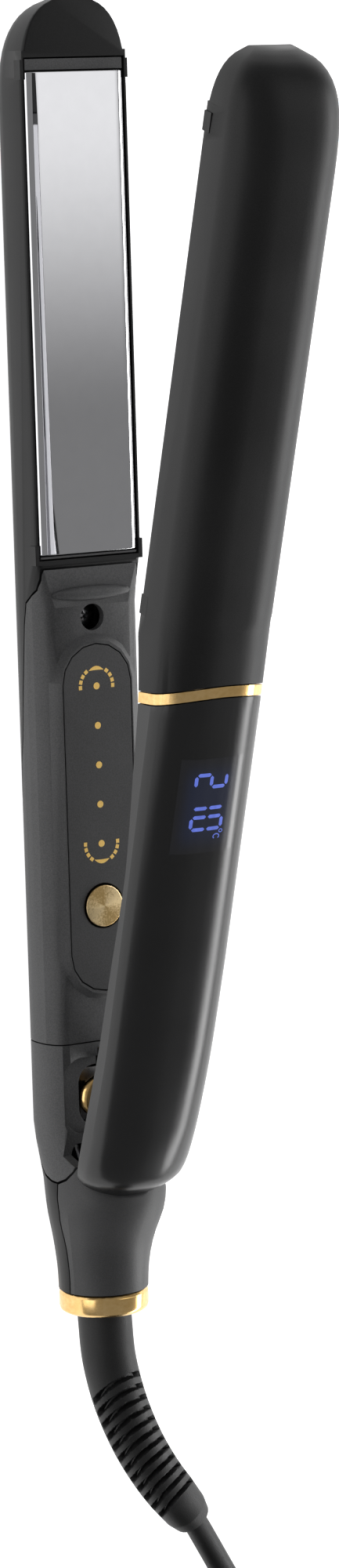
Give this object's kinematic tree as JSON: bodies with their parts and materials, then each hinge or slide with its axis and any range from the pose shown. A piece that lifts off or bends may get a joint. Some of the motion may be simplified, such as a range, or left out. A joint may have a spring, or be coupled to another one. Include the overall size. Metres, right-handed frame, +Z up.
{
  "type": "hair straightener",
  "caption": "Hair straightener with two hinged arms, floating heating plates, display, round power button, slide lock and swivel cord.",
  "frame": {"origin": "centre of the bounding box's bottom face, cord left out: the table plane under the lower arm", "axes": "+Y along the lower arm towards the tip, +Z up from the table through the plates, +X to the right seen from the tail with the plates up"},
  "size_m": [0.069, 0.5109, 0.1057],
  "materials": {
    "matte_shell": "soft-touch matte black",
    "textured_cover": "fine spark texture, dark grey",
    "gloss_cover": "polished black",
    "gold_trim": "polished gold tone",
    "titanium_plate": "mirror polished",
    "steel": "plain",
    "board": "solder mask",
    "aluminium": "milled",
    "ceramic": "fired",
    "silicone": "moulded",
    "black_plastic": "plain black",
    "black_rubber": "fine grained",
    "plug_brass": "plated",
    "sensor_glass": "coated bead"
  },
  "bodies": {
    "lower_arm": {"lower_shell": "matte_shell", "lower_handle_cover": "textured_cover", "hinge_cover": "textured_cover", "neck_cover": "matte_shell", "neck_ring": "gold_trim", "hinge_pin": "steel", "opening_spring": "steel", "touch_panel": "textured_cover", "touch_board": "board", "main_board": "board", "power_switch": "black_plastic", "lower_cover_screw": "steel", "lower_float_pad_heel": "silicone", "lower_float_pad_tip": "silicone", "contact_block": "black_plastic", "supply_lead": "black_rubber", "lower_heater_lead": "black_rubber"},
    "lower_heating_plate": {"lower_plate": "titanium_plate", "lower_heat_spreader": "aluminium", "lower_heater": "ceramic", "lower_sensor": "sensor_glass", "lower_plate_carrier": "textured_cover"},
    "upper_arm": {"upper_shell": "matte_shell", "gold_band": "gold_trim", "display_cover": "gloss_cover", "upper_handle_cover": "textured_cover", "lock_catch": "steel", "display_module": "black_plastic", "display_board": "board", "upper_cover_screw": "steel", "upper_float_pad_heel": "silicone", "upper_float_pad_tip": "silicone", "upper_supply_lead": "black_rubber", "upper_heater_lead": "black_rubber"},
    "upper_heating_plate": {"upper_plate": "titanium_plate", "upper_heat_spreader": "aluminium", "upper_heater": "ceramic", "upper_sensor": "sensor_glass", "upper_plate_carrier": "textured_cover"},
    "power_button": {"power_button": "gold_trim"},
    "lock_slider": {"lock_slider": "gold_trim", "lock_latch": "steel"},
    "cord_swivel": {"swivel_collar": "black_plastic", "strain_relief": "black_rubber", "power_cord": "black_rubber", "power_cord_tail": "black_rubber", "cord_hank": "black_rubber", "plug_body": "black_plastic", "plug_pin_left": "plug_brass", "plug_pin_right": "plug_brass"}
  },
  "joints": [
    {"name": "arm_hinge", "type": "hinge", "parent": "lower_arm", "child": "upper_arm", "pos_m": [0, -0.1196, 0.015], "axis": [-1, 0, 0], "range_deg": [0, 16.7], "stiffness_Nm_per_rad": 0.5, "springref_deg": -60.16},
    {"name": "lower_plate_float", "type": "slide", "parent": "lower_arm", "child": "lower_heating_plate", "axis": [0, 0, -1], "range_m": [0, 0.0005], "stiffness_N_per_m": 6000, "springref_m": -0.0005},
    {"name": "upper_plate_float", "type": "slide", "parent": "upper_arm", "child": "upper_heating_plate", "axis": [0, -0.2907, 0.9568], "range_m": [0, 0.0005], "stiffness_N_per_m": 6000, "springref_m": -0.0005},
    {"name": "power_button_press", "type": "slide", "parent": "lower_arm", "child": "power_button", "axis": [0, 0, -1], "range_m": [0, 0.0006], "stiffness_N_per_m": 1500, "springref_m": -0.0005},
    {"name": "lock_slide", "type": "slide", "parent": "lower_arm", "child": "lock_slider", "axis": [0, 1, 0], "range_m": [0, 0.0022]},
    {"name": "cord_swivel", "type": "hinge", "parent": "lower_arm", "child": "cord_swivel", "pos_m": [0, -0.1431, 0.0123], "axis": [0, 1, 0], "continuous": true}
  ]
}
